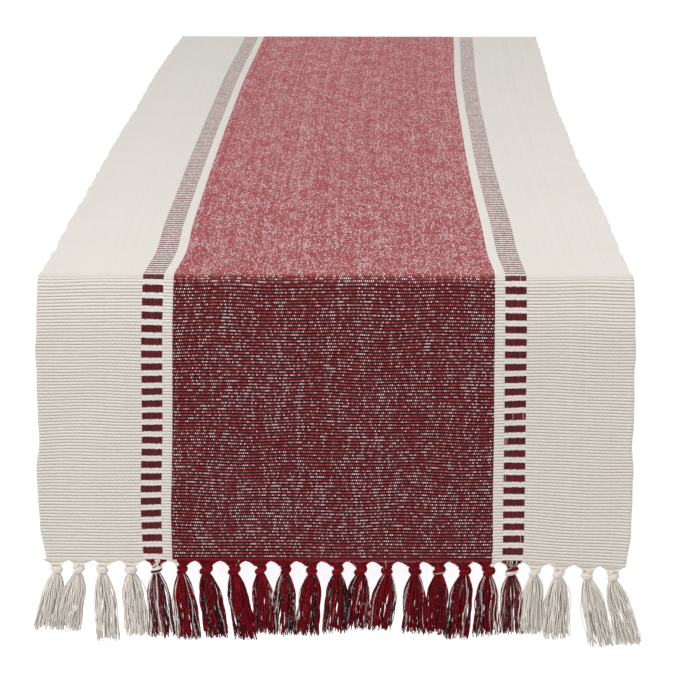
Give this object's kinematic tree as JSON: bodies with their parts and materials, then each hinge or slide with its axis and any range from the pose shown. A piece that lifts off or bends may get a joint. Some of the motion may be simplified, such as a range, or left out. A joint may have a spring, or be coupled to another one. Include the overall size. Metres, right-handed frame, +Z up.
{
  "type": "table runner",
  "caption": "Long striped cotton table runner lying flat with both ends hanging, with dashed stripes beside a red field and a knotted tassel fringe.",
  "frame": {"origin": "middle of the cloth's underside, on the table's surface", "axes": "+X across the runner, +Y along it away from the front end, +Z up from the table"},
  "size_m": [0.3732, 1.3972, 0.2287],
  "materials": {
    "cream_cotton": "ribbed cream cotton rep",
    "striped_cotton": "cream cotton rep with burgundy dashes",
    "red_cotton": "ribbed red cotton rep flecked with white and dark yarn",
    "cream_fringe": "loose cream cotton yarn",
    "mixed_fringe": "loose burgundy, cream and black cotton yarn",
    "red_fringe": "loose red, black and pale cotton yarn"
  },
  "bodies": {
    "table_length": {"top_left_border": "cream_cotton", "top_centre": "red_cotton", "top_right_border": "cream_cotton"},
    "front_drop": {"front_left_border": "cream_cotton", "front_left_stripe": "striped_cotton", "front_field": "red_cotton", "front_right_stripe": "striped_cotton", "front_right_border": "cream_cotton"},
    "front_tassel_01": {"front_tassel_01": "cream_fringe"},
    "front_tassel_02": {"front_tassel_02": "cream_fringe"},
    "front_tassel_03": {"front_tassel_03": "cream_fringe"},
    "front_tassel_04": {"front_tassel_04": "cream_fringe"},
    "front_tassel_05": {"front_tassel_05": "mixed_fringe"},
    "front_tassel_06": {"front_tassel_06": "red_fringe"},
    "front_tassel_07": {"front_tassel_07": "red_fringe"},
    "front_tassel_08": {"front_tassel_08": "red_fringe"},
    "front_tassel_09": {"front_tassel_09": "red_fringe"},
    "front_tassel_10": {"front_tassel_10": "red_fringe"},
    "front_tassel_11": {"front_tassel_11": "red_fringe"},
    "front_tassel_12": {"front_tassel_12": "red_fringe"},
    "front_tassel_13": {"front_tassel_13": "red_fringe"},
    "front_tassel_14": {"front_tassel_14": "red_fringe"},
    "front_tassel_15": {"front_tassel_15": "red_fringe"},
    "front_tassel_16": {"front_tassel_16": "red_fringe"},
    "front_tassel_17": {"front_tassel_17": "red_fringe"},
    "front_tassel_18": {"front_tassel_18": "red_fringe"},
    "front_tassel_19": {"front_tassel_19": "mixed_fringe"},
    "front_tassel_20": {"front_tassel_20": "cream_fringe"},
    "front_tassel_21": {"front_tassel_21": "cream_fringe"},
    "front_tassel_22": {"front_tassel_22": "cream_fringe"},
    "front_tassel_23": {"front_tassel_23": "cream_fringe"},
    "back_drop": {"back_left_border": "cream_cotton", "back_left_stripe": "striped_cotton", "back_field": "red_cotton", "back_right_stripe": "striped_cotton", "back_right_border": "cream_cotton"},
    "back_tassel_23": {"back_tassel_23": "cream_fringe"},
    "back_tassel_22": {"back_tassel_22": "cream_fringe"},
    "back_tassel_21": {"back_tassel_21": "cream_fringe"},
    "back_tassel_20": {"back_tassel_20": "cream_fringe"},
    "back_tassel_19": {"back_tassel_19": "mixed_fringe"},
    "back_tassel_18": {"back_tassel_18": "red_fringe"},
    "back_tassel_17": {"back_tassel_17": "red_fringe"},
    "back_tassel_16": {"back_tassel_16": "red_fringe"},
    "back_tassel_15": {"back_tassel_15": "red_fringe"},
    "back_tassel_14": {"back_tassel_14": "red_fringe"},
    "back_tassel_13": {"back_tassel_13": "red_fringe"},
    "back_tassel_12": {"back_tassel_12": "red_fringe"},
    "back_tassel_11": {"back_tassel_11": "red_fringe"},
    "back_tassel_10": {"back_tassel_10": "red_fringe"},
    "back_tassel_09": {"back_tassel_09": "red_fringe"},
    "back_tassel_08": {"back_tassel_08": "red_fringe"},
    "back_tassel_07": {"back_tassel_07": "red_fringe"},
    "back_tassel_06": {"back_tassel_06": "red_fringe"},
    "back_tassel_05": {"back_tassel_05": "mixed_fringe"},
    "back_tassel_04": {"back_tassel_04": "cream_fringe"},
    "back_tassel_03": {"back_tassel_03": "cream_fringe"},
    "back_tassel_02": {"back_tassel_02": "cream_fringe"},
    "back_tassel_01": {"back_tassel_01": "cream_fringe"}
  },
  "joints": [
    {"name": "front_drop_fold", "type": "hinge", "parent": "table_length", "child": "front_drop", "pos_m": [0, -0.6941, -0.0007], "axis": [-1, 0, 0], "range_deg": [0, 90]},
    {"name": "back_drop_fold", "type": "hinge", "parent": "table_length", "child": "back_drop", "pos_m": [0, 0.6941, -0.0007], "axis": [1, 0, 0], "range_deg": [0, 90]},
    {"name": "front_tassel_01_swing", "type": "hinge", "parent": "front_drop", "child": "front_tassel_01", "pos_m": [-0.17007, -0.69555, -0.1761], "axis": [-1, 0, 0], "range_deg": [-90, 90]},
    {"name": "front_tassel_02_swing", "type": "hinge", "parent": "front_drop", "child": "front_tassel_02", "pos_m": [-0.15461, -0.69555, -0.1761], "axis": [-1, 0, 0], "range_deg": [-90, 90]},
    {"name": "front_tassel_03_swing", "type": "hinge", "parent": "front_drop", "child": "front_tassel_03", "pos_m": [-0.13915, -0.69555, -0.1761], "axis": [-1, 0, 0], "range_deg": [-90, 90]},
    {"name": "front_tassel_04_swing", "type": "hinge", "parent": "front_drop", "child": "front_tassel_04", "pos_m": [-0.12369, -0.69555, -0.1761], "axis": [-1, 0, 0], "range_deg": [-90, 90]},
    {"name": "front_tassel_05_swing", "type": "hinge", "parent": "front_drop", "child": "front_tassel_05", "pos_m": [-0.10823, -0.69555, -0.1761], "axis": [-1, 0, 0], "range_deg": [-90, 90]},
    {"name": "front_tassel_06_swing", "type": "hinge", "parent": "front_drop", "child": "front_tassel_06", "pos_m": [-0.09277, -0.69555, -0.1761], "axis": [-1, 0, 0], "range_deg": [-90, 90]},
    {"name": "front_tassel_07_swing", "type": "hinge", "parent": "front_drop", "child": "front_tassel_07", "pos_m": [-0.0773, -0.69555, -0.1761], "axis": [-1, 0, 0], "range_deg": [-90, 90]},
    {"name": "front_tassel_08_swing", "type": "hinge", "parent": "front_drop", "child": "front_tassel_08", "pos_m": [-0.06184, -0.69555, -0.1761], "axis": [-1, 0, 0], "range_deg": [-90, 90]},
    {"name": "front_tassel_09_swing", "type": "hinge", "parent": "front_drop", "child": "front_tassel_09", "pos_m": [-0.04638, -0.69555, -0.1761], "axis": [-1, 0, 0], "range_deg": [-90, 90]},
    {"name": "front_tassel_10_swing", "type": "hinge", "parent": "front_drop", "child": "front_tassel_10", "pos_m": [-0.03092, -0.69555, -0.1761], "axis": [-1, 0, 0], "range_deg": [-90, 90]},
    {"name": "front_tassel_11_swing", "type": "hinge", "parent": "front_drop", "child": "front_tassel_11", "pos_m": [-0.01546, -0.69555, -0.1761], "axis": [-1, 0, 0], "range_deg": [-90, 90]},
    {"name": "front_tassel_12_swing", "type": "hinge", "parent": "front_drop", "child": "front_tassel_12", "pos_m": [0, -0.69555, -0.1761], "axis": [-1, 0, 0], "range_deg": [-90, 90]},
    {"name": "front_tassel_13_swing", "type": "hinge", "parent": "front_drop", "child": "front_tassel_13", "pos_m": [0.01546, -0.69555, -0.1761], "axis": [-1, 0, 0], "range_deg": [-90, 90]},
    {"name": "front_tassel_14_swing", "type": "hinge", "parent": "front_drop", "child": "front_tassel_14", "pos_m": [0.03092, -0.69555, -0.1761], "axis": [-1, 0, 0], "range_deg": [-90, 90]},
    {"name": "front_tassel_15_swing", "type": "hinge", "parent": "front_drop", "child": "front_tassel_15", "pos_m": [0.04638, -0.69555, -0.1761], "axis": [-1, 0, 0], "range_deg": [-90, 90]},
    {"name": "front_tassel_16_swing", "type": "hinge", "parent": "front_drop", "child": "front_tassel_16", "pos_m": [0.06184, -0.69555, -0.1761], "axis": [-1, 0, 0], "range_deg": [-90, 90]},
    {"name": "front_tassel_17_swing", "type": "hinge", "parent": "front_drop", "child": "front_tassel_17", "pos_m": [0.0773, -0.69555, -0.1761], "axis": [-1, 0, 0], "range_deg": [-90, 90]},
    {"name": "front_tassel_18_swing", "type": "hinge", "parent": "front_drop", "child": "front_tassel_18", "pos_m": [0.09277, -0.69555, -0.1761], "axis": [-1, 0, 0], "range_deg": [-90, 90]},
    {"name": "front_tassel_19_swing", "type": "hinge", "parent": "front_drop", "child": "front_tassel_19", "pos_m": [0.10823, -0.69555, -0.1761], "axis": [-1, 0, 0], "range_deg": [-90, 90]},
    {"name": "front_tassel_20_swing", "type": "hinge", "parent": "front_drop", "child": "front_tassel_20", "pos_m": [0.12369, -0.69555, -0.17678], "axis": [-1, 0, 0], "range_deg": [-90, 90]},
    {"name": "front_tassel_21_swing", "type": "hinge", "parent": "front_drop", "child": "front_tassel_21", "pos_m": [0.13915, -0.69555, -0.17752], "axis": [-1, 0, 0], "range_deg": [-90, 90]},
    {"name": "front_tassel_22_swing", "type": "hinge", "parent": "front_drop", "child": "front_tassel_22", "pos_m": [0.15461, -0.69555, -0.17826], "axis": [-1, 0, 0], "range_deg": [-90, 90]},
    {"name": "front_tassel_23_swing", "type": "hinge", "parent": "front_drop", "child": "front_tassel_23", "pos_m": [0.17007, -0.69555, -0.17899], "axis": [-1, 0, 0], "range_deg": [-90, 90]},
    {"name": "back_tassel_01_swing", "type": "hinge", "parent": "back_drop", "child": "back_tassel_01", "pos_m": [-0.17007, 0.69555, -0.17899], "axis": [1, 0, 0], "range_deg": [-90, 90]},
    {"name": "back_tassel_02_swing", "type": "hinge", "parent": "back_drop", "child": "back_tassel_02", "pos_m": [-0.15461, 0.69555, -0.17826], "axis": [1, 0, 0], "range_deg": [-90, 90]},
    {"name": "back_tassel_03_swing", "type": "hinge", "parent": "back_drop", "child": "back_tassel_03", "pos_m": [-0.13915, 0.69555, -0.17752], "axis": [1, 0, 0], "range_deg": [-90, 90]},
    {"name": "back_tassel_04_swing", "type": "hinge", "parent": "back_drop", "child": "back_tassel_04", "pos_m": [-0.12369, 0.69555, -0.17678], "axis": [1, 0, 0], "range_deg": [-90, 90]},
    {"name": "back_tassel_05_swing", "type": "hinge", "parent": "back_drop", "child": "back_tassel_05", "pos_m": [-0.10823, 0.69555, -0.1761], "axis": [1, 0, 0], "range_deg": [-90, 90]},
    {"name": "back_tassel_06_swing", "type": "hinge", "parent": "back_drop", "child": "back_tassel_06", "pos_m": [-0.09277, 0.69555, -0.1761], "axis": [1, 0, 0], "range_deg": [-90, 90]},
    {"name": "back_tassel_07_swing", "type": "hinge", "parent": "back_drop", "child": "back_tassel_07", "pos_m": [-0.0773, 0.69555, -0.1761], "axis": [1, 0, 0], "range_deg": [-90, 90]},
    {"name": "back_tassel_08_swing", "type": "hinge", "parent": "back_drop", "child": "back_tassel_08", "pos_m": [-0.06184, 0.69555, -0.1761], "axis": [1, 0, 0], "range_deg": [-90, 90]},
    {"name": "back_tassel_09_swing", "type": "hinge", "parent": "back_drop", "child": "back_tassel_09", "pos_m": [-0.04638, 0.69555, -0.1761], "axis": [1, 0, 0], "range_deg": [-90, 90]},
    {"name": "back_tassel_10_swing", "type": "hinge", "parent": "back_drop", "child": "back_tassel_10", "pos_m": [-0.03092, 0.69555, -0.1761], "axis": [1, 0, 0], "range_deg": [-90, 90]},
    {"name": "back_tassel_11_swing", "type": "hinge", "parent": "back_drop", "child": "back_tassel_11", "pos_m": [-0.01546, 0.69555, -0.1761], "axis": [1, 0, 0], "range_deg": [-90, 90]},
    {"name": "back_tassel_12_swing", "type": "hinge", "parent": "back_drop", "child": "back_tassel_12", "pos_m": [0, 0.69555, -0.1761], "axis": [1, 0, 0], "range_deg": [-90, 90]},
    {"name": "back_tassel_13_swing", "type": "hinge", "parent": "back_drop", "child": "back_tassel_13", "pos_m": [0.01546, 0.69555, -0.1761], "axis": [1, 0, 0], "range_deg": [-90, 90]},
    {"name": "back_tassel_14_swing", "type": "hinge", "parent": "back_drop", "child": "back_tassel_14", "pos_m": [0.03092, 0.69555, -0.1761], "axis": [1, 0, 0], "range_deg": [-90, 90]},
    {"name": "back_tassel_15_swing", "type": "hinge", "parent": "back_drop", "child": "back_tassel_15", "pos_m": [0.04638, 0.69555, -0.1761], "axis": [1, 0, 0], "range_deg": [-90, 90]},
    {"name": "back_tassel_16_swing", "type": "hinge", "parent": "back_drop", "child": "back_tassel_16", "pos_m": [0.06184, 0.69555, -0.1761], "axis": [1, 0, 0], "range_deg": [-90, 90]},
    {"name": "back_tassel_17_swing", "type": "hinge", "parent": "back_drop", "child": "back_tassel_17", "pos_m": [0.0773, 0.69555, -0.1761], "axis": [1, 0, 0], "range_deg": [-90, 90]},
    {"name": "back_tassel_18_swing", "type": "hinge", "parent": "back_drop", "child": "back_tassel_18", "pos_m": [0.09277, 0.69555, -0.1761], "axis": [1, 0, 0], "range_deg": [-90, 90]},
    {"name": "back_tassel_19_swing", "type": "hinge", "parent": "back_drop", "child": "back_tassel_19", "pos_m": [0.10823, 0.69555, -0.1761], "axis": [1, 0, 0], "range_deg": [-90, 90]},
    {"name": "back_tassel_20_swing", "type": "hinge", "parent": "back_drop", "child": "back_tassel_20", "pos_m": [0.12369, 0.69555, -0.1761], "axis": [1, 0, 0], "range_deg": [-90, 90]},
    {"name": "back_tassel_21_swing", "type": "hinge", "parent": "back_drop", "child": "back_tassel_21", "pos_m": [0.13915, 0.69555, -0.1761], "axis": [1, 0, 0], "range_deg": [-90, 90]},
    {"name": "back_tassel_22_swing", "type": "hinge", "parent": "back_drop", "child": "back_tassel_22", "pos_m": [0.15461, 0.69555, -0.1761], "axis": [1, 0, 0], "range_deg": [-90, 90]},
    {"name": "back_tassel_23_swing", "type": "hinge", "parent": "back_drop", "child": "back_tassel_23", "pos_m": [0.17007, 0.69555, -0.1761], "axis": [1, 0, 0], "range_deg": [-90, 90]}
  ]
}
